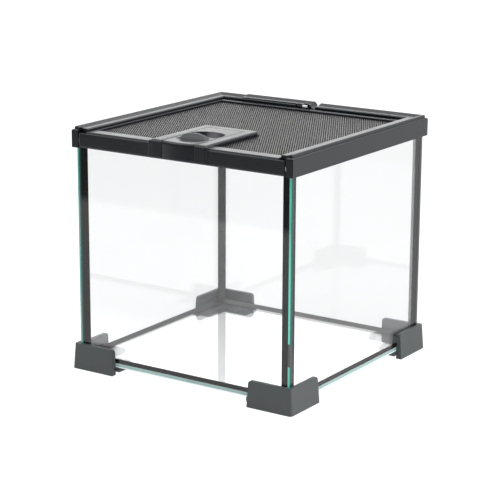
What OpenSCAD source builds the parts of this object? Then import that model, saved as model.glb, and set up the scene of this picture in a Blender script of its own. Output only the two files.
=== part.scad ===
// Small cube terrarium: glass tank on four corner feet, moulded rim, hinged mesh lid with a sliding latch.
// Origin at the middle of the footprint on the floor, +X to the right, -Y towards the latch, +Z up.

/* [Tank] */
// Outer width of the glass box
glass_w = 200; // [170:1:260]
// Outer depth of the glass box
glass_d = 200; // [170:1:260]
// Thickness of the glass
glass_t = 3.5; // [3:0.1:4]
// Height of the glass floor above the ground
floor_z = 6.5; // [5.5:0.1:9]
// Height of the side and back panes above the glass floor
pane_h = 182.5; // [140:0.5:240]
// How much lower the front pane ends than the others
front_drop = 8.6; // [8:0.1:9.2]
// Leg of the silicone fillet in the upright corners
seam_leg = 5; // [3:0.1:6.5]
// Leg of the silicone fillet round the floor
floor_seam_leg = 3; // [2:0.1:4.5]

/* [Feet] */
// Length of each leg of a foot, from its outer corner
foot_leg = 40.5; // [30:0.5:60]
// Height of the foot wall
foot_h = 21; // [16:0.5:30]
// How far the foot wall leans out from top to bottom
foot_draft = 1.7; // [1.2:0.1:2.5]
// Width of the shelf that carries the glass
foot_shelf_w = 17; // [12:0.5:24]
// Thickness of the shelf
foot_shelf_t = 3.6; // [2.4:0.1:4.4]
// How far the shelf runs on past the wall's end
foot_shelf_out = 3.5; // [2:0.5:12]
// Radius of the foot's upright outer corner at the ground
foot_corner_r = 2.6; // [2.6:0.1:7]

/* [Rim] */
// How far the rim stands out beyond the glass
rim_over = 3; // [2.8:0.1:3.6]
// Thickness of the rim's outer wall
rim_wall = 2.6; // [2:0.1:2.7]
// Width of the side and back rails
rail_w = 13; // [12.8:0.1:15]
// Height of the rim's outer wall below its shoulder
rim_skirt = 14.5; // [13.5:0.1:18]
// Height of the shoulder above the top of the side panes
shoulder_up = 4.3; // [3.8:0.1:6]
// Height of the ridge above the shoulder
ridge_up = 2.4; // [1.6:0.1:3]
// Height of the inner ledge above the shoulder
ledge_up = 0.9; // [0.6:0.1:1.2]
// Width of the corner posts beside the lid's skirt
post_w = 6.3; // [5.4:0.1:6.5]
// Thickness of the rim's ribs and inner walls
rib_t = 2; // [1.4:0.1:2.4]

/* [Cable inlet] */
// Width of the notch that the cover closes
inlet_w = 20.5; // [16:0.5:28]
// Right end of the notch, from the middle
inlet_x = 2.8; // [-20:0.1:30]
// Length of the sliding cover
cover_l = 74; // [60:0.5:76]
// Thickness of the cover's shell
cover_t = 0.8; // [0.6:0.1:1.2]
// Travel of the cover
cover_travel = 12; // [6:0.5:12]

/* [Lid] */
// Gap between the lid and the rails
lid_gap = 0.7; // [0.5:0.1:1.2]
// Width of the lid's side borders
border_w = 2.6; // [2.4:0.1:5]
// Depth of the lid's front border
front_border_w = 11.5; // [9:0.1:14]
// Drop of the lid's border below the rim's ledge
border_drop = 2.1; // [1.4:0.1:2.2]
// Thickness of the border above the screen
flange_t = 1.4; // [1:0.1:1.6]
// Height of the lid frame's edge
lid_h = 4.4; // [4:0.1:5]
// Thickness of the screen
mesh_t = 0.6; // [0.4:0.1:0.8]
// Spacing of the screen's holes
mesh_pitch = 11.6; // [10.4:0.1:16]
// Width of the bars between the screen's holes
mesh_bar = 1.6; // [1:0.1:3]
// Height of the front skirt below its step
skirt_h = 11.1; // [9:0.1:11.5]
// Thickness of the front skirt
skirt_t = 1.4; // [1.1:0.1:1.5]
// Radius of the hinge barrel
barrel_r = 3.4; // [3.2:0.1:3.6]
// Radius of the hinge pins
pin_r = 1.55; // [1.2:0.05:1.8]

/* [Latch] */
// Width of the latch block
latch_w = 29; // [26:0.5:32]
// Width of the latch housing
housing_w = 51; // [48:0.5:60]
// Length of the latch housing from the skirt's face
housing_l = 73; // [68:0.5:84]
// Height of the housing above the lid's border
housing_up = 1.9; // [1.4:0.1:2.2]
// How far the block's middle bows out in front of its sides
latch_bow = 1.6; // [0.8:0.1:1.6]
// Travel of the latch
latch_travel = 4.5; // [3.5:0.1:4.8]
// Height of the thumb tab above the housing
tab_up = 3.4; // [2:0.1:4.5]
// Gap beside the latch block
latch_gap = 0.4; // [0.2:0.05:0.6]

/* [Hidden] */
$fn = 48;
e = 0.01;                                  // overshoot of cuts
big = 600;                                 // longer than the model

// Tank
gx = glass_w / 2;                          // outer faces of the glass
gy = glass_d / 2;
ix = gx - glass_t;                         // inner faces of the glass
iy = gy - glass_t;
tank_z = floor_z + glass_t;                // top of the glass floor
pane_top = tank_z + pane_h;
front_top = pane_top - front_drop;
seat = 0.2;                                // clearance of a pane in its channel
pane_in = rim_over + glass_t + seat;       // rim's channel for a pane, in from its outer face

// Rim
rx = gx + rim_over;                        // outer faces of the rim
ry = gy + rim_over;
shoulder_z = pane_top + shoulder_up;
ridge_z = shoulder_z + ridge_up;
ledge_z = shoulder_z + ledge_up;
skirt_z = shoulder_z - rim_skirt;          // bottom of the rim's outer wall
web_z = ledge_z - 2.2;                     // underside of the top web
inner_z = ledge_z - 8.6;                   // bottom of the inner wall
rib_z = inner_z - 1.6;                     // bottom of the rib behind the pane
shoulder_w = 1.8;                          // width of the shoulder
shoulder_r = 1.4;                          // rounding of its outer edge
bead_r = 1.2;                              // rounding of the bead above the shoulder
ridge_in = 3.6;                            // ridge, in from the outer face
slope_in = 8;                              // foot of the slope, in from the outer face
edge_r = 0.8;                              // small roundings
ax = rx - rail_w;                          // inner faces of the side rails
ay = ry - rail_w;                          // inner face of the back rail
rail_front = ry - 4;                       // front ends of the side rails
post_in = rx - post_w;                     // inner faces of the posts
front_rail_t = 1.2;                        // wall of the front rail's channel
front_rail_top = front_top + 0.1 + front_rail_t;
front_rail_out = gy + seat + front_rail_t;
front_rail_in = iy - seat - front_rail_t;

// Lid
lx = ax - lid_gap;                         // half width of the lid frame
border_z = ledge_z - border_drop;          // top of the lid's border
screen_top = border_z - flange_t;
mesh_z = screen_top - mesh_t;              // underside of the screen
lid_z = border_z - lid_h;                  // underside of the lid frame
lip_gap = 0.2;                             // lid frame above its lip
lip_t = 1.5;
lip_w = 2.8;
hinge_y = ay - lid_gap + 0.2 - barrel_r;   // hinge axis
hinge_z = border_z - barrel_r;
pin_fit = 0.05;                            // running gap of the pins in the rails
pin_in = 6;                                // length of a pin in the barrel
frame_wall = 1.4;                          // upright edge of the lid frame
barrel_l = 12;                             // length of each hinge barrel
flange_in = 1.6;                           // back flange over the screen
retainer_t = 1.6;                          // strip under the screen
retainer_w = 3.1;
wing_x = post_in - 1.1;                    // ends of the skirt
wing_back = rail_front + 0.6;              // rear of the skirt's wings
step_z = border_z - 1.3;                   // top of the skirt, a step below the border
step_w = 1.4;                              // width of the step
step_r = 0.3;                              // rounding of its edge
skirt_bottom = step_z - skirt_h;
beam_back = ry - front_border_w;           // rear edge of the front border
border_r = 0.5;                            // rounding of the front border's edge
screen_front = beam_back + 2.2;            // front edge of the screen
screen_back = hinge_y - barrel_r - 0.1;    // its rear edge
screen_x = lx - frame_wall - 0.1;          // half its width

// Latch
lw = latch_w / 2;
hw = housing_w / 2;
housing_z = border_z + housing_up;
housing_back = ry - housing_l;             // rear end of the housing, in front of the middle
cheek_out = 0.4;                           // cheeks in front of the skirt
cheek_z = housing_z - 0.9;                 // their top
channel_z = lid_z - 0.7;                   // underside of the housing
plate_t = 1.5;                             // plate under the latch
plate_z = channel_z - plate_t;
well_w = lw + latch_gap;                   // half width of the finger well
well_floor = channel_z + 1.2;
deck_z = channel_z + 0.2;                  // underside of the slider
block_out = ry + cheek_out;                // front of the block at its sides
block_back = front_rail_out + 0.4;         // rear of the block's skirt
tab_in = 22;                               // top of the thumb tab, in from the skirt's face
tab_v = ry - tab_in;                       // front of the tab's flat top
tab_z = housing_z + tab_up;
tail_l = 17;                               // length of the slider behind the tab
tail_v = tab_v - tail_l;                   // rear end of the slider
well_l = 11;                               // length of the finger well behind the slider
well_back = tail_v - well_l;               // its rear end at the top
well_slope = 5;                            // reach of its sloping rear wall
tail_z = housing_z - 2.2;                  // its top
runner_w = 2.2;                            // side runners of the slider
runner_t = 1.2;
runner_front = ry - 9;                     // front ends of the runners
runner_gap = 0.15;
spring_r = 1;
wire_r = 0.3;
spring_turns = 9;
spring_z = channel_z + 1.7;                // axis of the spring
spring_room = spring_r + wire_r + 0.3;     // half width of its pocket
spring_front = tab_v + 3;                  // rear face of the spring's post
spring_back = tail_v + 3.8;                // rear seat of the spring
post_t = 2;
keeper_w = 20;
hook_w = 16;
keeper_back = front_rail_out - 4;        // rear face of the catch
hook_z = front_rail_top + 1.7;             // underside of the latch's hook
hook_t = 1.6;
block_top = housing_z - 0.1;               // top of the latch block
edge_big = 2;                              // rounding of its upper edge
edge_arc = 20;                             // half angle that the rounding covers
dish_v = tab_v + 4;                        // middle of the dish in front of the tab
dish_half = 13.2;                          // its radius at the top
dish_depth = 2.3;
dish_r = (dish_half * dish_half + dish_depth * dish_depth) / (2 * dish_depth);
dish_z = housing_z - dish_depth;           // its lowest point
tab_half = 12;                             // half width of the thumb tab
tab_rise = 3.5;                            // height of its arched top
tab_t = 2.7;                               // thickness of its top
cheek_x = hw + 1.5;                        // outer sides of the cheeks
shell_t = 2.4;                             // walls of the housing's hollow
groove_w = 0.6;                            // lines sunk into the housing
groove_d = 0.4;
line_in = 8.5;                             // line, in from the housing's edge
plate_x = hw - 3.5;                        // half width of the plate
plate_front = keeper_back - 0.5;
plate_back = tail_v - 4;
screw_r = 1.1;
screw_in = 2.6;                            // length of a screw in the housing
screw_head = 1.2;
screw_at = [[lw + 5, plate_front - 4], [-lw - 5, plate_front - 4],
            [lw + 5, plate_back + 4], [-lw - 5, plate_back + 4]];

// ---------- Frames that the sections are drawn in ----------

// A section (inwards, up) carried along Y at the +X side of the rim
module run_y(y0, y1) {
  translate([rx, y1, 0]) mirror([1, 0, 0]) rotate([90, 0, 0]) linear_extrude(y1 - y0) children();
}

// The same section carried along X at the front of the rim
module run_x(x0, x1) {
  translate([x0, -ry, 0]) rotate([90, 0, 90]) linear_extrude(x1 - x0) children();
}

// A section (forwards, up) carried along X across the middle
module across(half) {
  rotate([90, 0, -90]) linear_extrude(2 * half, center = true) children();
}

// A block between two corners
module block(a, b) {
  translate(a) cube(b - a);
}

// ---------- Tank ----------

module glass_floor() {
  color([0.80, 0.90, 0.88, 0.4]) block([-gx, -gy, floor_z], [gx, gy, tank_z]);
}

module glass_front() {
  color([0.80, 0.90, 0.88, 0.4]) block([-gx, -gy, tank_z], [gx, -iy, front_top]);
}

module glass_back() {
  color([0.80, 0.90, 0.88, 0.4]) block([-ix, iy, tank_z], [ix, gy, pane_top]);
}

module glass_side(s) {
  color([0.80, 0.90, 0.88, 0.4])
    mirror([s < 0 ? 1 : 0, 0, 0]) block([ix, -iy, tank_z], [gx, gy, pane_top]);
}

// Upright silicone fillet in the corner at +X, +Y, with a hollow face
module corner_bead(top) {
  back_off = seam_leg + 2.2;
  translate([ix, iy, tank_z]) linear_extrude(top - tank_z) difference() {
    polygon([[0, 0], [-seam_leg, 0], [-seam_leg, -0.5], [-0.5, -seam_leg], [0, -seam_leg]]);
    translate([-back_off, -back_off]) circle(r = seam_leg + 0.4, $fn = 40);
  }
}

module seam_at(sx, sy, top) {
  color([0.07, 0.07, 0.08])
    mirror([sx < 0 ? 1 : 0, 0, 0]) mirror([0, sy < 0 ? 1 : 0, 0]) corner_bead(top);
}

// Silicone fillet along the rear side of a floor, from mitre to mitre
module floor_bead(depth, half) {
  leg = floor_seam_leg;
  intersection() {
    translate([-half, depth, tank_z]) rotate([90, 0, 90])
      linear_extrude(2 * half) polygon([[0, 0], [-leg, 0], [0, leg]]);
    translate([0, 0, tank_z]) linear_extrude(leg)
      polygon([[half, depth], [-half, depth], [leg - half, depth - leg], [half - leg, depth - leg]]);
  }
}

module seam_floor() {
  color([0.07, 0.07, 0.08]) difference() {
    union() {
      for (s = [0, 1]) mirror([0, s, 0]) floor_bead(iy, ix);
      for (s = [0, 1]) mirror([s, 0, 0]) rotate([0, 0, -90]) floor_bead(ix, iy);
    }
    for (sx = [0, 1], sy = [0, 1]) mirror([sx, 0, 0]) mirror([0, sy, 0]) corner_bead(pane_top);
  }
}

// ---------- Feet ----------

foot_in = 0.3;                             // clearance between foot and glass
foot_out = rim_over + 2.1;                 // outer face at the ground, beyond the glass
shelf_z = floor_z - 0.1;                   // top of the shelf
foot_end_r = 2.5;                          // rounding of a leg's upper end
foot_rake = 0.3;                           // lean of a leg's end

// Leaning wall of a foot along +X, with its inner face at Y = 0
module foot_wall_run(length) {
  wall = foot_out - foot_in;
  end = length - foot_rake - foot_end_r;
  intersection() {
    rotate([90, 0, 90]) linear_extrude(length)
      polygon([[0, 0], [-wall, 0], [foot_draft - wall, foot_h], [0, foot_h]]);
    rotate([90, 0, 0]) linear_extrude(2 * wall + 2, center = true) {
      polygon([[0, 0], [length, 0], [length - foot_rake, foot_h - foot_end_r],
               [end, foot_h - foot_end_r], [end, foot_h], [0, foot_h]]);
      translate([end, foot_h - foot_end_r]) circle(r = foot_end_r);
    }
  }
}

// Foot at the -X, -Y corner: two leaning walls, a coned corner and a shelf under the glass
module foot() {
  rc = foot_corner_r;
  arm = foot_leg - rc;
  wall = foot_out - foot_in;
  shelf = foot_leg + foot_shelf_out - wall;
  corner = [-gx - foot_out, -gy - foot_out, 0];
  difference() {
    translate(corner) {
      translate([rc, wall, 0]) foot_wall_run(arm);
      mirror([1, -1, 0]) translate([rc, wall, 0]) foot_wall_run(arm);
      translate([rc, rc, 0]) cylinder(r1 = rc, r2 = rc - foot_draft, h = foot_h, $fn = 64);
      translate([wall - e, wall - e, shelf_z - foot_shelf_t]) {
        cube([shelf, foot_shelf_w, foot_shelf_t]);
        cube([foot_shelf_w, shelf, foot_shelf_t]);
      }
    }
    translate([-gx - foot_in, -gy - foot_in, shelf_z]) cube([foot_leg, foot_leg, foot_h]);
  }
}

module foot_at(sx, sy) {
  color([0.20, 0.21, 0.22])
    mirror([sx > 0 ? 1 : 0, 0, 0]) mirror([0, sy > 0 ? 1 : 0, 0]) foot();
}

// ---------- Rim ----------

// Points of a quarter round, from the left of its middle to the top
function quarter(c, r) = [for (i = [0 : 5]) c + r * [-cos(18 * i), sin(18 * i)]];

// Outline of the rim's outside: shoulder, bead, ridge, slope and ledge
module rim_outside() {
  polygon(concat([[0, skirt_z]], quarter([shoulder_r, shoulder_z - shoulder_r], shoulder_r),
                 [[shoulder_w, shoulder_z]],
                 quarter([shoulder_w + bead_r, ridge_z - bead_r], bead_r),
                 [[ridge_in, ridge_z], [slope_in, ledge_z], [rail_w - edge_r, ledge_z],
                  [rail_w, ledge_z - edge_r], [rail_w, skirt_z]]));
}

// Section of a rail: outer wall, rib behind the pane and inner wall hang from one web
module rail_section() {
  difference() {
    rim_outside();
    translate([rim_wall, 0]) square([pane_in - rim_wall, pane_top + seat]);
    translate([pane_in - e, 0]) square([rail_w, rib_z]);
    translate([pane_in + rib_t, 0]) square([rail_w - pane_in - 2 * rib_t, web_z]);
    translate([pane_in + rib_t + e, 0]) square([rail_w, inner_z]);
  }
}

module rail_right() {
  difference() {
    union() {
      intersection() {
        run_y(-rail_front, ry) rail_section();
        linear_extrude(big) polygon([[rx + 1, ry + 1], [rx + 1, -2 * ry], [rx - 3 * ry, -2 * ry]]);
      }
      // lip that the lid frame rests on
      block([ax - lip_w, 6 - rail_front, lid_z - lip_gap - lip_t],
            [ax + e, hinge_y - barrel_r - 3, lid_z - lip_gap]);
      // wall across the rail's front end
      block([ax, -rail_front, inner_z], [rx - rim_wall, frame_wall - rail_front, web_z + e]);
      // post beside the lid's skirt, hipped like the rail
      difference() {
        intersection() {
          run_y(-ry, 3 - rail_front) rim_outside();
          run_x(ax, rx) rim_outside();
        }
        block([ax - 1, rim_wall - ry, 0], [rx - rim_wall, ry, web_z]);
        block([ax - 1, -ry - 1, 0], [post_in, -rail_front, big]);
      }
    }
    translate([ax - 1, hinge_y, hinge_z]) rotate([0, 90, 0])
      cylinder(r = pin_r + pin_fit, h = rib_t + 2);
  }
}

module rim_side(s) {
  color([0.13, 0.13, 0.14]) mirror([s < 0 ? 1 : 0, 0, 0]) rail_right();
}

// Cable cover and its guide
cover_end = inlet_x - 0.3;                 // right end of the closed cover
nose_l = 8;                                // solid end that fills the notch
runner_l = 4;                              // length of each runner under the cover
foot_a = inlet_x - inlet_w - 4;            // middles of the runners
foot_b = cover_end - cover_l + 6;
guide_in = (pane_in + rail_w) / 2;         // guide slot, in from the outer face
guide_w = 1.2;
guide_head = rail_w - pane_in - 2 * rib_t - 0.3; // width of a runner's head below the slot
inlet_z = pane_top + 2.3;                  // floor of the cable notch

module rim_back() {
  color([0.13, 0.13, 0.14]) difference() {
    intersection() {
      mirror([0, 1, 0]) run_x(-rx, rx) rail_section();
      linear_extrude(big) polygon([[rx + 1, ry + 1], [-rx - 1, ry + 1], [0, ry - rx]]);
    }
    // cable notch through the rail, and down through its rib and inner wall
    block([inlet_x - inlet_w, ay - 1, inlet_z], [inlet_x, ry + 1, big]);
    block([inlet_x - inlet_w, ay - 1, 0], [inlet_x, ry - pane_in + e, big]);
    // guide slot
    block([foot_b - cover_travel - runner_l / 2 - 0.5, ry - guide_in - guide_w / 2, web_z - 1],
          [inlet_x - inlet_w + e, ry - guide_in + guide_w / 2, ledge_z + 1]);
  }
}

// Channel over the front pane, hidden behind the skirt
module rim_front() {
  half = ix - seat;
  color([0.13, 0.13, 0.14]) difference() {
    block([-half, -front_rail_out, skirt_z + 0.2], [half, -front_rail_in, front_rail_top]);
    block([-big, -gy - seat, 0], [big, seat - iy, front_top + 0.1]);
  }
}

// Catch on the front rail for the latch's hook
keeper_front = front_rail_out - 2;         // front face of its upright, under the lip
lip_z = hook_z + hook_t + 0.3;             // underside of its lip
keeper_top = lip_z + 1.4;

module latch_keeper() {
  color([0.13, 0.13, 0.14]) rotate([90, 0, -90]) linear_extrude(keeper_w, center = true)
    polygon([[keeper_back, front_rail_top], [keeper_front, front_rail_top], [keeper_front, lip_z],
             [front_rail_out, lip_z], [front_rail_out, lip_z + 0.6], [front_rail_out - 0.8, keeper_top],
             [keeper_back, keeper_top]]);
}

// Section of the cable cover, which wraps the rail's top
module cover_skin(from, to) {
  intersection() {
    difference() {
      offset(delta = to) rim_outside();
      offset(delta = from) rim_outside();
    }
    translate([edge_r, shoulder_z + 0.15]) square([rail_w - 2 * edge_r, big]);
  }
}

// Section of the nose, solid down to the notch's floor
module nose_section() {
  intersection() {
    offset(delta = cover_t) rim_outside();
    translate([shoulder_w, inlet_z + 0.3]) square([rail_w - edge_r - shoulder_w, big]);
  }
}

module cable_cover() {
  cover_gap = 0.1;
  scoop_r = 7.7;
  color([0.15, 0.15, 0.16]) difference() {
    union() {
      mirror([0, 1, 0]) run_x(cover_end - cover_l, cover_end) cover_skin(cover_gap, cover_t);
      mirror([0, 1, 0]) run_x(cover_end - nose_l, cover_end) nose_section();
      // grip ridge
      block([cover_end - nose_l - 3, ay + 1.2, ledge_z + cover_t - e],
            [cover_end - nose_l, ay + 3, ledge_z + cover_t + 0.8]);
      // runners that clip under the rail's web
      for (x = [foot_a, foot_b]) {
        block([x - runner_l / 2, ry - guide_in - guide_w / 2 + 0.15, web_z - 0.15],
              [x + runner_l / 2, ry - guide_in + guide_w / 2 - 0.15, ledge_z + cover_t - e]);
        block([x - runner_l / 2, ry - guide_in - guide_head / 2, web_z - 1.2],
              [x + runner_l / 2, ry - guide_in + guide_head / 2, web_z - 0.15 + e]);
      }
    }
    translate([cover_end + 0.9, ry + 2, ridge_z + 3.2]) rotate([90, 0, 0])
      cylinder(r = scoop_r, h = rail_w + 4, $fn = 64);
  }
}

// ---------- Lid ----------

// Section of the front beam: skirt, step, rounded edge and flange over the screen
module beam_section() {
  polygon(concat([[screen_front, screen_top], [screen_front, lid_z], [ry - skirt_t - 3, lid_z],
                  [ry - skirt_t, lid_z - 1.5], [ry - skirt_t, skirt_bottom], [ry, skirt_bottom],
                  [ry, step_z - step_r], [ry - step_r, step_z], [ry - step_w, step_z]],
                 [for (q = quarter([0, border_z - border_r], border_r)) [ry - step_w - border_r - q[0], q[1]]],
                 [[beam_back, border_z], [beam_back, screen_top]]));
}

// Section of the skirt's wings, in front of the side rails
module wing_section() {
  polygon([[ry, skirt_bottom], [ry, step_z - step_r], [ry - step_r, step_z], [wing_back, step_z],
           [wing_back, step_z - skirt_t], [ry - skirt_t, step_z - skirt_t - 1], [ry - skirt_t, skirt_bottom]]);
}

// A block made twice, mirrored across the middle
module pair() {
  for (s = [0, 1]) mirror([s, 0, 0]) children();
}

// Finger well behind the slider, with a sloping rear wall
module finger_well() {
  hull() {
    translate([0, 0, well_floor]) linear_extrude(e) well_outline(well_l - well_slope);
    translate([0, 0, housing_z]) linear_extrude(1) well_outline(well_l);
  }
}

// Its outline: half an ellipse behind the end of the slider
module well_outline(reach) {
  intersection() {
    translate([0, -tail_v]) scale([well_w, reach]) circle(r = 1, $fn = 64);
    translate([-well_w, -tail_v]) square([2 * well_w, reach + 1]);
  }
}

// Line sunk into the top of the housing, parallel to its edge
module housing_line(inset) {
  half = hw - inset;
  difference() {
    translate([-half, -ry + 2]) square([2 * half, ry - 2 - housing_back - inset]);
    translate([groove_w - half, -ry]) square([2 * (half - groove_w), ry - housing_back - inset - groove_w]);
  }
}

// Housing of the latch: bevelled plate with its corners rounded
module housing_body() {
  intersection() {
    across(hw) polygon([[housing_back, channel_z], [ry, channel_z], [ry, housing_z - 1],
                        [ry - 1, housing_z], [housing_back + 1, housing_z], [housing_back, housing_z - 1]]);
    translate([0, 0, channel_z]) rotate([90, 0, 0]) linear_extrude(2 * ry, center = true)
      polygon([[-hw, 0], [hw, 0], [hw, housing_z - 1 - channel_z], [hw - 1, housing_z - channel_z],
               [1 - hw, housing_z - channel_z], [-hw, housing_z - 1 - channel_z]]);
    linear_extrude(big) translate([-hw, -ry - 4]) offset(r = 3) offset(delta = -3)
      square([2 * hw, ry + 4 - housing_back]);
  }
}

// Everything that the lid frame is made of before its cuts
module lid_frame_body() {
  across(lx) beam_section();
  across(wing_x) wing_section();
  pair() {
    // side border
    block([lx - border_w, -beam_back - 1, screen_top], [lx, hinge_y, border_z]);
    block([lx - frame_wall, -beam_back - 1, lid_z], [lx, hinge_y, border_z]);
    // hinge barrel
    translate([lx - barrel_l, hinge_y, hinge_z]) rotate([0, 90, 0]) cylinder(r = barrel_r, h = barrel_l);
  }
  // back border
  block([-lx, hinge_y - barrel_r, lid_z], [lx, hinge_y, border_z]);
  block([-lx, hinge_y - barrel_r - flange_in, screen_top], [lx, hinge_y, border_z]);
  // cheeks beside the latch block
  across(cheek_x) polygon([[ry - skirt_t, skirt_bottom], [block_out, skirt_bottom], [block_out, cheek_z - 0.8],
                           [block_out - 0.8, cheek_z], [ry - skirt_t, cheek_z]]);
  housing_body();
}

module lid_frame() {
  color([0.12, 0.12, 0.13]) difference() {
    lid_frame_body();
    // channel of the latch, open at the front
    block([-well_w, -ry - 6, skirt_bottom - 1], [well_w, 1 - tail_v, big]);
    finger_well();
    // grooves of the runners
    block([-lw - runner_w - runner_gap, -runner_front - latch_travel - 0.6, channel_z - 1],
          [lw + runner_w + runner_gap, 1 - tail_v, deck_z + runner_t + runner_gap]);
    // hollow under the rear of the housing
    block([shell_t - hw, -well_back + 2, channel_z - 1], [hw - shell_t, -housing_back - shell_t, housing_z - 2.2]);
    translate([0, 0, housing_z - groove_d]) linear_extrude(2) housing_line(line_in);
    pair() translate([lx - pin_in, hinge_y, hinge_z]) rotate([0, 90, 0])
      cylinder(r = pin_r + 0.01, h = pin_in + 1);
    for (p = screw_at) translate([p[0], -p[1], channel_z - 1]) cylinder(r = screw_r + 0.05, h = 1 + screw_in + 0.4);
    pair() translate([cheek_x - 1.6, -block_out - 1, skirt_bottom - 1]) cube([groove_w, 1 + groove_d, housing_z]);
  }
}

// Outline of the screen inside the lid frame, less the housing
module screen_outline() {
  difference() {
    translate([-screen_x, -screen_front + 0.1]) square([2 * screen_x, screen_front - 0.1 + screen_back]);
    translate([-hw - 0.1, -ry]) square([2 * hw + 0.2, ry - housing_back + 0.1]);
  }
}

// True where a hole of the screen stays inside the outline's margin
function in_screen(x, y, m) =
  abs(x) < screen_x - m && y < screen_back - m && y > m - screen_front
  && (abs(x) > hw + m || y > m - housing_back);

module lid_mesh() {
  row_pitch = mesh_pitch * sqrt(3) / 2;
  hole_r = (mesh_pitch - mesh_bar) / sqrt(3);
  margin = hole_r + mesh_bar;
  rows = floor((screen_front + screen_back) / 2 / row_pitch);
  cols = ceil(screen_x / mesh_pitch);
  mid = (screen_back - screen_front) / 2;
  color([0.10, 0.10, 0.11]) translate([0, 0, mesh_z]) linear_extrude(mesh_t) difference() {
    screen_outline();
    for (row = [-rows : rows], col = [-cols : cols]) {
      x = (col + (row % 2 == 0 ? 0 : 0.5)) * mesh_pitch;
      y = mid + row * row_pitch;
      if (in_screen(x, y, margin)) translate([x, y]) rotate(30) circle(r = hole_r, $fn = 6);
    }
  }
}

// Strip that holds the screen up against the borders
module mesh_retainer() {
  color([0.14, 0.14, 0.15]) translate([0, 0, mesh_z - retainer_t]) linear_extrude(retainer_t) difference() {
    screen_outline();
    offset(delta = -retainer_w) screen_outline();
  }
}

module hinge_pin(s) {
  color([0.70, 0.71, 0.73]) mirror([s < 0 ? 1 : 0, 0, 0])
    translate([lx - pin_in + 0.1, hinge_y, hinge_z]) rotate([0, 90, 0])
      cylinder(r = pin_r, h = pin_in + lid_gap + rib_t - 0.2, $fn = 32);
}

// ---------- Latch ----------

// Section of the slider: block, flat and tail
module slider_section() {
  front = block_out + latch_bow + 1;
  difference() {
    polygon([[tail_v, deck_z], [block_back, deck_z], [block_back, skirt_bottom + 0.4], [front, skirt_bottom + 0.4],
             [front, block_top], [tail_v + 1, block_top], [tail_v, block_top - 1]]);
    // low tail behind the tab
    translate([tail_v - 1, tail_z]) square([tab_v - tab_t - tail_v + 1, 20]);
  }
}

// Section of the thumb tab, whose front is hollow and runs out into the dish
module tab_section() {
  reach = dish_v + 4 - tab_v;
  fall = tab_z - 0.4 - dish_z;
  polygon(concat([[tab_v - tab_t - 1.7, tail_z - 1], [tab_v - tab_t, tab_z - 0.6], [tab_v - tab_t + 0.6, tab_z],
                  [tab_v - 0.4, tab_z]],
                 [for (t = [0 : 0.125 : 1]) [tab_v + reach * t, dish_z + fall * pow(1 - t, 2)]],
                 [[dish_v + 4, tail_z - 1]]));
}

// Front view of the thumb tab: an arch as wide as the tab
module tab_arch() {
  r = (tab_half * tab_half + tab_rise * tab_rise) / (2 * tab_rise);
  intersection() {
    translate([0, tab_z - r]) circle(r = r, $fn = 128);
    translate([-tab_half, deck_z]) square([2 * tab_half, 20]);
  }
}

// Plan of the slider, bowed at the front
module slider_plan() {
  r = (lw * lw + latch_bow * latch_bow) / (2 * latch_bow);
  intersection() {
    translate([0, r - block_out - latch_bow]) circle(r = r, $fn = 360);
    translate([-lw, -block_out - latch_bow - 1]) square([2 * lw, block_out]);
  }
}

module latch_slider() {
  color([0.14, 0.14, 0.15]) difference() {
    union() {
      difference() {
        intersection() {
          across(lw) slider_section();
          linear_extrude(big) slider_plan();
        }
        // rounded upper edge of the block, and the round dish in front of the tab
        edge_round();
        translate([0, -dish_v, dish_z + dish_r]) sphere(r = dish_r, $fn = 150);
      }
      intersection() {
        across(tab_half) tab_section();
        rotate([90, 0, 0]) linear_extrude(2 * ry, center = true) tab_arch();
      }
      // runners
      block([-lw - runner_w, -runner_front, deck_z], [lw + runner_w, -tail_v, deck_z + runner_t]);
      // hook under the catch
      block([-hook_w / 2, -block_back - e, hook_z], [hook_w / 2, -keeper_front - 0.5, hook_z + hook_t]);
    }
    // pocket of the spring
    block([-spring_room, -spring_front - post_t - 0.3, deck_z - 1], [spring_room, -spring_back, spring_z + spring_room]);
  }
}

// Cutter that follows the block's bowed front and leaves its upper edge round
module edge_round() {
  r = (lw * lw + latch_bow * latch_bow) / (2 * latch_bow);
  translate([0, r - block_out - latch_bow, block_top - edge_big]) rotate([0, 0, 270 - edge_arc])
    rotate_extrude(angle = 2 * edge_arc, $fn = 360) difference() {
      translate([r - edge_big, 0]) square([edge_big + 2, edge_big + 1]);
      translate([r - edge_big, 0]) circle(r = edge_big, $fn = 32);
    }
}

// Round wire wound about an axis along Y, with flat ends
module latch_spring() {
  sides = 5;
  steps = 12;
  rings = spring_turns * steps;
  length = spring_front - spring_back - 2 * wire_r - 0.1;
  points = [for (i = [0 : rings], k = [0 : sides - 1])
    let (a = 360 * i / steps, b = 360 * k / sides, r = spring_r + wire_r * cos(b))
    [r * cos(a), -spring_front + wire_r + 0.05 + length * i / rings + wire_r * sin(b), spring_z + r * sin(a)]];
  walls = [for (i = [0 : rings - 1], k = [0 : sides - 1], h = [0, 1])
    let (p = i * sides + k, q = i * sides + (k + 1) % sides)
    h == 0 ? [p, p + sides, q + sides] : [p, q + sides, q]];
  ends = [[for (k = [0 : sides - 1]) k], [for (k = [0 : sides - 1]) rings * sides + sides - 1 - k]];
  color([0.72, 0.73, 0.75]) polyhedron(points = points, faces = concat(walls, ends));
}

// Plate under the latch, with the post that the spring stands against
module latch_cover() {
  color([0.16, 0.16, 0.17]) {
    difference() {
      block([-plate_x, -plate_front, plate_z], [plate_x, -plate_back, channel_z]);
      for (p = screw_at) translate([p[0], -p[1], plate_z - 1]) cylinder(r = screw_r + 0.2, h = plate_t + 2);
    }
    block([-spring_room + 0.2, -spring_front - post_t, channel_z - e],
          [spring_room - 0.2, -spring_front, spring_z + spring_room - 0.2]);
  }
}

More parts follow.
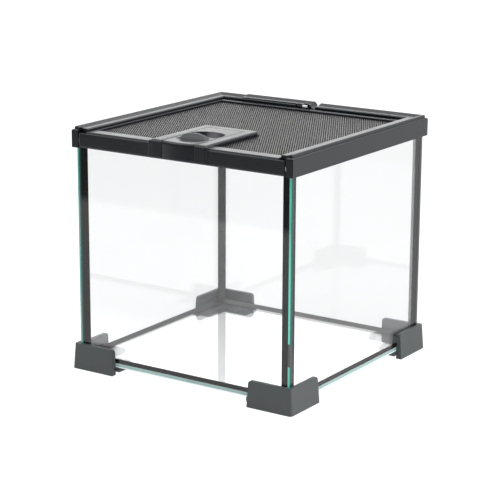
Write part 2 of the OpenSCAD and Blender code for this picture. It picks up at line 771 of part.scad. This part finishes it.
module latch_screws() {
  color([0.72, 0.73, 0.75]) for (p = screw_at) translate([p[0], -p[1], 0]) {
    translate([0, 0, plate_z - e]) cylinder(r = screw_r, h = plate_t + screw_in + e, $fn = 24);
    translate([0, 0, plate_z - screw_head]) cylinder(r1 = 1.6, r2 = 2.1, h = screw_head, $fn = 24);
  }
}

// ---------- Assembly ----------

glass_floor();
glass_front();
glass_back();
glass_side(-1);  // glass_left
glass_side(1);  // glass_right
seam_at(-1, -1, skirt_z - 0.1);  // seam_front_left
seam_at(1, -1, skirt_z - 0.1);  // seam_front_right
seam_at(-1, 1, rib_z - 0.3);  // seam_back_left
seam_at(1, 1, rib_z - 0.3);  // seam_back_right
seam_floor();
foot_at(-1, -1);  // foot_front_left
foot_at(1, -1);  // foot_front_right
foot_at(-1, 1);  // foot_back_left
foot_at(1, 1);  // foot_back_right
rim_side(-1);  // rim_left
rim_side(1);  // rim_right
rim_back();
rim_front();
cable_cover();
lid_frame();
lid_mesh();
mesh_retainer();
hinge_pin(-1);  // hinge_pin_left
hinge_pin(1);  // hinge_pin_right
latch_slider();
latch_spring();
latch_cover();
latch_screws();
latch_keeper();
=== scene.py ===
"""Looks of the small cube terrarium, piece by piece in the order it is put together."""
import math

import bpy
import numpy as np
from mathutils import Matrix, Vector


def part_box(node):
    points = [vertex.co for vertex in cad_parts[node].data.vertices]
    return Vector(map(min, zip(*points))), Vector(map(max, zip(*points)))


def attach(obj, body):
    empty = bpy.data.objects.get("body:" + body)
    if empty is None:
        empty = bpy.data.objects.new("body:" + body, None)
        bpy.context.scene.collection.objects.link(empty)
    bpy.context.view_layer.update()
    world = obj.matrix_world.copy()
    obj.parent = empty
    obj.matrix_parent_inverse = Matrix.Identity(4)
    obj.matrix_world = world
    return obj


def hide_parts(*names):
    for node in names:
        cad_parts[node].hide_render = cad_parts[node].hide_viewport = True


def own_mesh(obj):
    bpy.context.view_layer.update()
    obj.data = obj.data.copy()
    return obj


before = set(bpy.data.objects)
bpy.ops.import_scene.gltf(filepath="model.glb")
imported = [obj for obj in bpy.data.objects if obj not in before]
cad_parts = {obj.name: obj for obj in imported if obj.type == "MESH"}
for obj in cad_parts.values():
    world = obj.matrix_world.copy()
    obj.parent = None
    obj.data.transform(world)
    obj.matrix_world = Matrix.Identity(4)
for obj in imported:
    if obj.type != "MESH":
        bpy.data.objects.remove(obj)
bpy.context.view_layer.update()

# ---------------------------------------------------------------- camera
# The photograph's own viewing angle, found from the tank's upright and level edges. aim_right
# and aim_up shift the frame, so that the tank lies where the photograph has it.
photo_width, focal_length = 500, 1771.2  # pixels
sensor_width = 36.0
azimuth, elevation, roll = (math.radians(a) for a in (33.57, 14.49, 0.29))
distance = 1.4426
aim = Vector((0.0, 0.0, 0.10304))
aim_right, aim_up = -0.00209, -0.01090
toward = Vector((math.sin(azimuth) * math.cos(elevation),
                 -math.cos(azimuth) * math.cos(elevation), math.sin(elevation)))
across = Vector((math.cos(azimuth), math.sin(azimuth), 0.0))
upward = toward.cross(across)
tilted = across * math.cos(roll) + upward * math.sin(roll)
standpoint = aim + toward * distance + across * aim_right + upward * aim_up
camera = bpy.data.objects.new("camera", bpy.data.cameras.new("camera"))
camera.data.sensor_width = sensor_width
camera.data.lens = sensor_width * focal_length / photo_width
camera.data.clip_start, camera.data.clip_end = 0.05, 50.0
camera.matrix_world = (Matrix.Translation(standpoint) @
                       Matrix((tilted, toward.cross(tilted), toward)).transposed().to_4x4())
bpy.context.scene.collection.objects.link(camera)
bpy.context.scene.camera = camera
bpy.context.scene.view_settings.view_transform = "Standard"


# ---------------------------------------------------------------- studio
# A white sweep with soft lamps overhead, at the right and low behind the tank, where the level
# faces mirror it. The photographer's side is dim, so the faces that look that way stay dark.
class Term:
    """A node's output that adds Math nodes when Python arithmetic is done on it."""

    def __init__(self, socket):
        self.socket = socket

    def math(self, operation, *others):
        settings = {"operation": operation}
        return make(self.socket.id_data, "ShaderNodeMath", settings, [self, *others])

    def __add__(self, other):
        return self.math("ADD", other)

    def __sub__(self, other):
        return self.math("SUBTRACT", other)

    def __mul__(self, other):
        return self.math("MULTIPLY", other)

    def __rsub__(self, other):
        return (self * -1.0) + other

    def __gt__(self, other):
        return self.math("GREATER_THAN", other)

    def __lt__(self, other):
        return self.math("LESS_THAN", other)

    __radd__, __rmul__ = __add__, __mul__


def make(tree, kind, settings=None, inputs=None, output=0):
    """Add a node, set its settings, then give its sockets values or links.

    Returns the output that is asked for, or a list of them where output is a tuple, and
    nothing for a node that has none.
    """
    node = tree.nodes.new(kind)
    for key, value in (settings or {}).items():
        setattr(node, key, value)
    pairs = inputs.items() if isinstance(inputs, dict) else enumerate(inputs or [])
    for key, value in pairs:
        if isinstance(value, Term):
            tree.links.new(value.socket, node.inputs[key])
        elif isinstance(value, tuple) and node.inputs[key].type == "RGBA":
            node.inputs[key].default_value = (*value[:3], 1.0)
        else:
            node.inputs[key].default_value = value
    if not len(node.outputs):
        return None
    if isinstance(output, tuple):
        return [Term(node.outputs[one]) for one in output]
    return Term(node.outputs[output])


def depth_of(tree, coordinate):
    """How far back a point or a direction of the studio lies, along +Y."""
    point = make(tree, "ShaderNodeTexCoord", output=coordinate)
    return make(tree, "ShaderNodeSeparateXYZ", inputs=[point], output="Y")


def ray_kinds(tree):
    """1 for rays that an eye sends, for those through clear glass and for a shiny face's."""
    return make(tree, "ShaderNodeLightPath",
                output=("Is Camera Ray", "Is Transmission Ray", "Is Glossy Ray"))


def between(value, low, high):
    """The value, kept from low to high."""
    return value.math("MAXIMUM", low).math("MINIMUM", high)


white = (1.0, 1.0, 1.0)
room_light, room_turn, front_dim = 0.44, 0.6, 0.05
world = bpy.data.worlds.new("room")
bpy.context.scene.world = world
world.use_nodes = True
world.node_tree.nodes.clear()
tree = world.node_tree
seen, through, glossy = ray_kinds(tree)
mirrored = between(depth_of(tree, "Generated") + room_turn, front_dim, 1.0)
shine = glossy * mirrored + (1.0 - glossy) * room_light
walls = make(tree, "ShaderNodeBackground", inputs={
    "Color": white, "Strength": shine.math("MAXIMUM", seen).math("MAXIMUM", through)})
make(tree, "ShaderNodeOutputWorld", inputs={"Surface": walls})

floor_size = 8.0
floor_corners = np.array([(-1, -1, 0), (1, -1, 0), (1, 1, 0), (-1, 1, 0)]) * floor_size / 2
floor_mesh = bpy.data.meshes.new("studio_floor")
floor_mesh.from_pydata(floor_corners.tolist(), [], [(0, 1, 2, 3)])
floor = bpy.data.objects.new("studio_floor", floor_mesh)
bpy.context.scene.collection.objects.link(floor)
paper = bpy.data.materials.new("pale_paper")
paper.use_nodes = True
paper.node_tree.nodes.clear()
tree = paper.node_tree
paper_white = (0.9, 0.9, 0.9)
paper_end, paper_fade, paper_share = -0.60, 30.0, 0.78
glow_seen, glow_through, glow_front = 1.25, 1.0, 1.5
glow_middle, glow_slope = 1.15, -3.0
lit = make(tree, "ShaderNodeBsdfDiffuse", inputs={"Color": paper_white})
seen, through, glossy = ray_kinds(tree)
forward = depth_of(tree, "Object")
end = between((forward - paper_end) * paper_fade, front_dim, 1.0)
sweep = between(forward * glow_slope + glow_middle, 1.0, glow_front) * end
direct_glow = (seen * glow_seen).math("MAXIMUM", through * glow_through)
glow = make(tree, "ShaderNodeEmission", inputs={
    "Color": white, "Strength": direct_glow.math("MAXIMUM", glossy * sweep)})
glowing = seen.math("MAXIMUM", through).math("MAXIMUM", glossy) * paper_share
sheet = make(tree, "ShaderNodeMixShader", inputs=[glowing, lit, glow])
make(tree, "ShaderNodeOutputMaterial", inputs={"Surface": sheet})
floor_mesh.materials.append(paper)

lamp_target = Vector((0, 0, 0.1))
for name, place, (wide, high), watts in (
        ("lamp_overhead", (0.25, 0.35, 1.3), (1.4, 1.4), 11.0),
        ("lamp_front_left", (-0.72, -0.55, 1.3), (0.8, 1.3), 8.5),
        ("lamp_right", (1.35, 0.35, 0.5), (1.0, 1.0), 9.0),
        ("lamp_behind", (-0.9, 1.35, 0.5), (1.4, 0.4), 2.6)):
    lamp = bpy.data.objects.new(name, bpy.data.lights.new(name, "AREA"))
    lamp.data.shape, lamp.data.energy = "RECTANGLE", watts
    lamp.data.size, lamp.data.size_y = wide, high
    lamp.visible_camera = False
    lamp.location = place
    lamp.rotation_euler = (Vector(place) - lamp_target).to_track_quat("Z", "Y").to_euler()
    bpy.context.scene.collection.objects.link(lamp)


# ---------------------------------------------------------------- glass
# Five float-glass panes with ground edges, 3.5 mm thick. The clear faces have a faint blue cast;
# the edges are painted a bright turquoise with a faint painted glow, standing in for the light
# they gather along the pane, and are black where glued.
def new_finish(name):
    """An empty material and its node tree."""
    material = bpy.data.materials.new(name)
    material.use_nodes = True
    material.node_tree.nodes.clear()
    return material, material.node_tree


def place_on(tree):
    """The point on the piece in metres, and its x, y and z."""
    here = make(tree, "ShaderNodeTexCoord", output="Object")
    return here, make(tree, "ShaderNodeSeparateXYZ", inputs=[here], output=("X", "Y", "Z"))


def mixed(tree, amount, first, second):
    """Colour that goes from first to second as amount goes from 0 to 1.

    The numbers are the Mix node's own for its factor, its two colours and the mixed colour.
    """
    return make(tree, "ShaderNodeMix", {"data_type": "RGBA"},
                {0: amount, 6: first, 7: second}, output=2)


def dress(material, *nodes):
    """Give CAD nodes a material."""
    for node in nodes:
        for slot in bpy.data.objects[node].material_slots:
            slot.material = material


def either(*parts):
    """1 where any of the parts is 1."""
    first, *rest = parts
    for part in rest:
        first = first.math("MAXIMUM", part)
    return first


clear_tint, floor_tint = (0.962, 0.967, 0.970), (0.900, 0.908, 0.912)
shadow_tint = (0.93, 0.96, 0.96)
# Edge colours: the glass's own green, painted bright for the light the edges gather along the
# pane; a cloud mixes the two at random.
edge_light, edge_deep = (0.15, 0.80, 0.67), (0.05, 0.38, 0.33)
edge_pale, edge_milky = (0.28, 0.44, 0.41), (0.20, 0.27, 0.27)
# Tones painted over parts of some edges in place of turquoise: near white low on the bottom
# pane's edge, grey on the others.
edge_whitish, edge_mid_grey = (0.75, 0.78, 0.78), (0.14, 0.155, 0.155)
glue_black, edge_dark_grey = (0.006, 0.006, 0.007), (0.040, 0.043, 0.047)
edge_cloud, deep_from, deep_gain = 22.0, 0.42, 1.6
# The edges glow faintly in their own colour: a painted glow, not a lamp.
edge_rough, painted_edge_glow = 0.25, 0.25


def glass_finish(name, thin_axis, light, deep, bonded, toned,
                 toned_colour=edge_dark_grey, tint=clear_tint):
    """Clear glass whose faces that do not look along thin_axis are its edges.

    bonded(x, y, z) gives 1 where the glass is glued to another pane and the next function gives
    1 where the edge is painted in the colour after it instead of turquoise; both give 0 where
    free.
    """
    material, tree = new_finish(name)
    here, place = place_on(tree)
    facing = make(tree, "ShaderNodeTexCoord", output="Normal")
    sideways = make(tree, "ShaderNodeSeparateXYZ", inputs=[facing], output=thin_axis)
    glued = bonded(*place)
    edge = (sideways.math("ABSOLUTE") < 0.5).math("MAXIMUM", glued)
    cloud = make(tree, "ShaderNodeTexNoise", {"noise_dimensions": "3D"},
                 {"Vector": here, "Scale": edge_cloud, "Detail": 1.0})
    deepening = ((cloud - deep_from) * deep_gain).math("MAXIMUM", 0.0)
    edge_colour = mixed(tree, deepening, light, deep)
    edge_colour = mixed(tree, toned(*place), edge_colour, toned_colour)
    edge_colour = mixed(tree, glued, edge_colour, glue_black)
    pane = make(tree, "ShaderNodeBsdfPrincipled", inputs={
        "Base Color": tint, "Roughness": 0.0, "IOR": 1.5, "Transmission Weight": 1.0})
    # The edge is painted bright turquoise and glows faintly: painted light for the light it
    # gathers along the pane.
    ground = make(tree, "ShaderNodeBsdfPrincipled", inputs={
        "Base Color": edge_colour, "Roughness": edge_rough,
        "Emission Color": edge_colour, "Emission Strength": painted_edge_glow})
    body = make(tree, "ShaderNodeMixShader", inputs=[edge, pane, ground])
    shadow = make(tree, "ShaderNodeLightPath", output="Is Shadow Ray")
    open_pane = make(tree, "ShaderNodeBsdfTransparent", inputs={"Color": shadow_tint})
    solid = make(tree, "ShaderNodeMixShader", inputs=[shadow * (1.0 - edge), body, open_pane])
    make(tree, "ShaderNodeOutputMaterial", inputs={"Surface": solid})
    return material


half_out, half_inside = 0.100, 0.0965   # outer and inner faces of the side panes
floor_top, floor_band_top = 0.010, 0.0074   # top of the bottom pane, and of its pale lower edge
joint_green, joint_grey = 0.0970, 0.0985
# The heights of a grey band painted on the right pane's front end.
grey_band_low, grey_band_high = 0.036, 0.054
film = 0.0001
above_tank = 1.0


def nowhere(x, y, z):
    """0 on the whole tank."""
    return z > above_tank


def on_bottom_pane(x, y, z):
    """Where a wall pane stands on the bottom one."""
    return z < floor_top + film


def at_front_end(y):
    """The end of a side pane, which shows through the front pane."""
    return y < film - half_inside


def side_glued(x, y, z):
    """The bottom, the strip that meets the back pane, and the front end but for its rim."""
    meets_back = (y > half_inside - film) * (x.math("ABSOLUTE") < half_inside + film)
    meets_front = at_front_end(y) * (x > -joint_grey) * (x < joint_green)
    return either(on_bottom_pane(x, y, z), meets_back, meets_front)


def side_toned(x, y, z):
    """The rear end, the left pane's front rim, and a band low on the right pane's front end."""
    return either(y > half_out - film, at_front_end(y) * (x < -joint_grey),
                  at_front_end(y) * (x > 0.0) * (z > grey_band_low) * (z < grey_band_high))


def front_toned(x, y, z):
    """The front pane's right end."""
    return x > half_out - film


def back_glued(x, y, z):
    """The back pane's bottom and both ends."""
    return either(on_bottom_pane(x, y, z), x.math("ABSOLUTE") > half_inside - film)


def floor_pale_band(x, y, z):
    """The lowest part of the bottom pane's edge."""
    return z < floor_band_top


dress(glass_finish("float_glass_front", "Y", edge_light, edge_deep, on_bottom_pane, front_toned),
      "glass_front")
dress(glass_finish("float_glass_side", "X", edge_light, edge_deep, side_glued, side_toned,
                   edge_mid_grey), "glass_left", "glass_right")
dress(glass_finish("float_glass_back", "Y", edge_light, edge_deep, back_glued, nowhere),
      "glass_back")
dress(glass_finish("float_glass_floor", "Z", edge_pale, edge_milky, nowhere, floor_pale_band,
                   edge_whitish, floor_tint), "glass_floor")


# ---------------------------------------------------------------- silicone
# Black sealant pressed into the inner corners and drawn off with a round tool, which
# leaves a smooth, slightly wavy and fairly shiny hollow face.
sealant_dark, sealant_light = (0.008, 0.008, 0.009), (0.02, 0.02, 0.022)
sealant_wave, sealant_depth, sealant_bump = 90.0, 0.0006, 0.3
sealant_rough, sealant_uneven = 0.24, 0.12
sealant, tree = new_finish("black_silicone")
here, _ = place_on(tree)
ripple = make(tree, "ShaderNodeTexNoise",
              inputs={"Vector": here, "Scale": sealant_wave, "Detail": 2.0})
wavy = make(tree, "ShaderNodeBump", inputs={
    "Strength": sealant_bump, "Distance": sealant_depth, "Height": ripple})
rubber = make(tree, "ShaderNodeBsdfPrincipled", inputs={
    "Base Color": mixed(tree, ripple, sealant_dark, sealant_light),
    "Roughness": ripple * sealant_uneven + sealant_rough, "Normal": wavy})
make(tree, "ShaderNodeOutputMaterial", inputs={"Surface": rubber})
dress(sealant, "seam_front_left", "seam_front_right", "seam_back_left", "seam_back_right",
      "seam_floor")


# ---------------------------------------------------------------- feet
# Four corner feet moulded in dark grey polypropylene with a fine spark-eroded grain. The
# panes stand on the shelf inside each foot.
def moulded_finish(name, low, high, rough, gloss=0.4, rounding=0.0003):
    """Moulded plastic: cloudy colour, fine grain, worn roughness and edges that look rounded."""
    cloud_scale, grain_scale, grain_depth, grain_bump = 34.0, 2600.0, 0.00004, 0.6
    cloud_uneven, grain_uneven = 0.10, 0.06
    smoothest = rough - (cloud_uneven + grain_uneven) / 2
    material, tree = new_finish(name)
    here, _ = place_on(tree)
    cloud = make(tree, "ShaderNodeTexNoise",
                 inputs={"Vector": here, "Scale": cloud_scale, "Detail": 3.0})
    speck = make(tree, "ShaderNodeTexNoise",
                 inputs={"Vector": here, "Scale": grain_scale, "Detail": 1.0})
    soft_edge = make(tree, "ShaderNodeBevel", {"samples": 6}, {"Radius": rounding})
    skin = make(tree, "ShaderNodeBump", inputs={
        "Strength": grain_bump, "Distance": grain_depth, "Height": speck, "Normal": soft_edge})
    plastic = make(tree, "ShaderNodeBsdfPrincipled", inputs={
        "Base Color": mixed(tree, cloud, low, high), "Specular IOR Level": gloss,
        "Roughness": cloud * cloud_uneven + speck * grain_uneven + smoothest, "Normal": skin})
    make(tree, "ShaderNodeOutputMaterial", inputs={"Surface": plastic})
    return material


foot_dark, foot_light = (0.070, 0.077, 0.079), (0.088, 0.095, 0.098)
foot_rough, foot_rounding = 0.55, 0.0008
dress(moulded_finish("grey_grained_plastic", foot_dark, foot_light, foot_rough,
                     rounding=foot_rounding),
      "foot_front_left", "foot_front_right", "foot_back_left", "foot_back_right")


# ---------------------------------------------------------------- rim
# Black moulded rails glued over the top of the glass, with a satin surface, the catch
# for the latch on the front one and a sliding cover over the cable notch at the back.
black_dark, black_light = (0.005, 0.0065, 0.010), (0.009, 0.011, 0.015)
satin_rough, satin_gloss = 0.30, 0.5
dress(moulded_finish("black_satin_plastic", black_dark, black_light, satin_rough, satin_gloss),
      "rim_left", "rim_right", "rim_back", "rim_front", "latch_keeper", "cable_cover")


# ---------------------------------------------------------------- lid frame and latch
# The lid's border with the latch housing in one black moulding; the retainer strip, the
# latch block and the plate under it are moulded in the same plastic.
lid_rounding = 0.0016
dress(moulded_finish("black_satin_lid", black_dark, black_light, satin_rough, satin_gloss,
                     lid_rounding),
      "lid_frame", "mesh_retainer", "latch_slider", "latch_cover")


# ---------------------------------------------------------------- screen
# Black-coated steel sheet, slit and stretched into fine staggered gaps about 2 mm apart.
# Its edge is gripped between the lid's border and the strip under it.
def net_cells(low, high, pitch):
    """Centres of a staggered net: rows are pitch * sqrt(3) / 2 apart, every other one is moved
    by half a pitch."""
    rows = np.arange(int((high[1] - low[1]) / (pitch * math.sqrt(3) / 2)) + 1)
    columns = np.arange(int((high[0] - low[0]) / pitch) + 1)
    row, column = np.meshgrid(rows, columns, indexing="ij")
    x = low[0] + (column + 0.5 * (row % 2)) * pitch
    y = low[1] + row * pitch * math.sqrt(3) / 2
    return np.stack([x.ravel(), y.ravel()], axis=1)


def net_mesh(name, centres, pitch, along, across, top, thick):
    """Six-sided cells with a gap drawn out to along its length and across its width, in shares
    of the cell. The gap's rim lies at the top, and each bar's side slopes from it under to the
    cell's edge, at the bottom of the sheet. Corners that cells share are one point, and an
    edge that only one cell has, at the net's border, gets an upright wall."""
    corners = 6
    turn = np.radians(30 + 60 * np.arange(corners))
    star = np.stack([np.cos(turn), np.sin(turn)], axis=1)
    outer = centres[:, None, :] + star * pitch / math.sqrt(3)
    slit = np.array([-0.5, math.sqrt(3) / 2])
    beside = np.array([slit[1], -slit[0]])
    drawn = star @ slit[:, None] * slit * along + star @ beside[:, None] * beside * across
    inner = centres[:, None, :] + drawn * pitch / math.sqrt(3)
    layers = [np.concatenate([ring, np.full((*ring.shape[:2], 1), z)], axis=2)
              for ring, z in ((outer, top), (inner, top), (outer, top - thick))]
    points = np.stack(layers, axis=1).reshape(-1, 3)
    side = np.arange(corners)
    after = (side + 1) % corners
    upper = np.stack([side, after, after + corners, side + corners], axis=1)
    lower = upper + corners
    first_point = np.arange(len(centres))[:, None, None] * len(layers) * corners
    faces = (first_point + np.concatenate([upper, lower])).reshape(-1, 4)
    _, first, shared = np.unique(points.round(6), axis=0, return_index=True,
                                 return_inverse=True)
    points, faces = points[first], shared.reshape(-1)[faces]
    cells = faces.reshape(-1, 2 * corners, 4)
    tops = cells[:, :corners, :2].reshape(-1, 2)
    bottoms = cells[:, corners:, 3:1:-1].reshape(-1, 2)
    _, edge, uses = np.unique(np.sort(tops, axis=1), axis=0, return_inverse=True,
                              return_counts=True)
    lone = uses[edge.reshape(-1)] == 1
    walls = np.stack([tops[lone, 0], bottoms[lone, 0], bottoms[lone, 1], tops[lone, 1]], axis=1)
    mesh = bpy.data.meshes.new(name)
    mesh.from_pydata(points.tolist(), [], np.concatenate([faces, walls]).tolist())
    mesh.validate()
    return mesh


screen_low, screen_high = (np.array(corner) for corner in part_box("lid_mesh"))
screen_pitch, gap_along, gap_across = 0.0020, 0.88, 0.62
housing_half, housing_rear, housing_gap = 0.0255, -0.030, 0.0002
coat_dark, coat_light = (0.012, 0.012, 0.012), (0.028, 0.028, 0.028)
coat_patch, coat_rough, coat_uneven = 120.0, 0.34, 0.12
centres = net_cells(screen_low[:2] + screen_pitch / 2, screen_high[:2] - screen_pitch / 2,
                    screen_pitch)
clear_of_housing = ((np.abs(centres[:, 0]) > housing_half + housing_gap) |
                    (centres[:, 1] > housing_rear + housing_gap))
screen = bpy.data.objects.new("lid_screen", net_mesh(
    "lid_screen", centres[clear_of_housing], screen_pitch, gap_along, gap_across,
    screen_high[2], screen_high[2] - screen_low[2]))
bpy.context.scene.collection.objects.link(screen)
coated, tree = new_finish("black_coated_wire")
here, _ = place_on(tree)
patch = make(tree, "ShaderNodeTexNoise",
             inputs={"Vector": here, "Scale": coat_patch, "Detail": 2.0})
coat = make(tree, "ShaderNodeBsdfPrincipled", inputs={
    "Base Color": mixed(tree, patch, coat_dark, coat_light),
    "Roughness": patch * coat_uneven + coat_rough})
make(tree, "ShaderNodeOutputMaterial", inputs={"Surface": coat})
screen.data.materials.append(coated)
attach(screen, "lid")
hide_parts("lid_mesh")


# ---------------------------------------------------------------- hinge pins, spring and screws
# Plain drawn steel with fine marks along its length. The spring is wound from thin wire and
# stands between a post on the plate, at its front, and the latch, which squeezes it.
def coil_mesh(name, front, rear, centre_height, coil, wire, turns):
    """Wire round a helix: at share t of its length the wire's middle lies at angle 2 * pi *
    turns * t round the Y axis, at radius coil, and the wire's skin is wire further out."""
    steps_per_turn, around = 24, 8
    along = turns * steps_per_turn + 1
    share, side = np.meshgrid(np.linspace(0, 1, along), 2 * np.pi * np.arange(around) / around,
                              indexing="ij")
    turn = 2 * np.pi * turns * share
    reach = coil + wire * np.cos(side)
    middle = front + wire + (rear - front - 2 * wire) * share
    points = np.stack([reach * np.cos(turn), middle + wire * np.sin(side),
                       centre_height + reach * np.sin(turn)], axis=2).reshape(-1, 3)
    here, beside = np.meshgrid(np.arange(along - 1) * around, np.arange(around), indexing="ij")
    after = (beside + 1) % around
    skin = np.stack([here + beside, here + after, here + around + after,
                     here + around + beside], axis=2).reshape(-1, 4)
    ends = [list(range(around))[::-1], list(range((along - 1) * around, along * around))]
    mesh = bpy.data.meshes.new(name)
    mesh.from_pydata(points.tolist(), [], skin.tolist() + ends)
    smooth = [True] * (len(mesh.polygons) - len(ends)) + [False] * len(ends)
    mesh.polygons.foreach_set("use_smooth", smooth)
    return mesh


steel_dark, steel_light = (0.55, 0.55, 0.57), (0.68, 0.68, 0.70)
steel_marks, steel_rough, steel_uneven = 900.0, 0.22, 0.2
steel, tree = new_finish("drawn_steel")
here, _ = place_on(tree)
streak = make(tree, "ShaderNodeTexNoise",
              inputs={"Vector": here, "Scale": steel_marks, "Detail": 2.0})
metal = make(tree, "ShaderNodeBsdfPrincipled", inputs={
    "Base Color": mixed(tree, streak, steel_dark, steel_light),
    "Metallic": 1.0, "Roughness": streak * steel_uneven + steel_rough})
make(tree, "ShaderNodeOutputMaterial", inputs={"Surface": metal})
dress(steel, "hinge_pin_left", "hinge_pin_right", "latch_screws")

spring_low, spring_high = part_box("latch_spring")
spring_wire, spring_turns = 0.0003, 9
spring_height = (spring_low[2] + spring_high[2]) / 2
spring_coil = (spring_high[0] - spring_low[0]) / 2 - spring_wire
spring = bpy.data.objects.new("latch_coil", coil_mesh(
    "latch_coil", spring_low[1], spring_high[1], spring_height, spring_coil, spring_wire,
    spring_turns))
bpy.context.scene.collection.objects.link(spring)
spring.data.materials.append(steel)
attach(spring, "lid")
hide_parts("latch_spring")
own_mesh(spring)
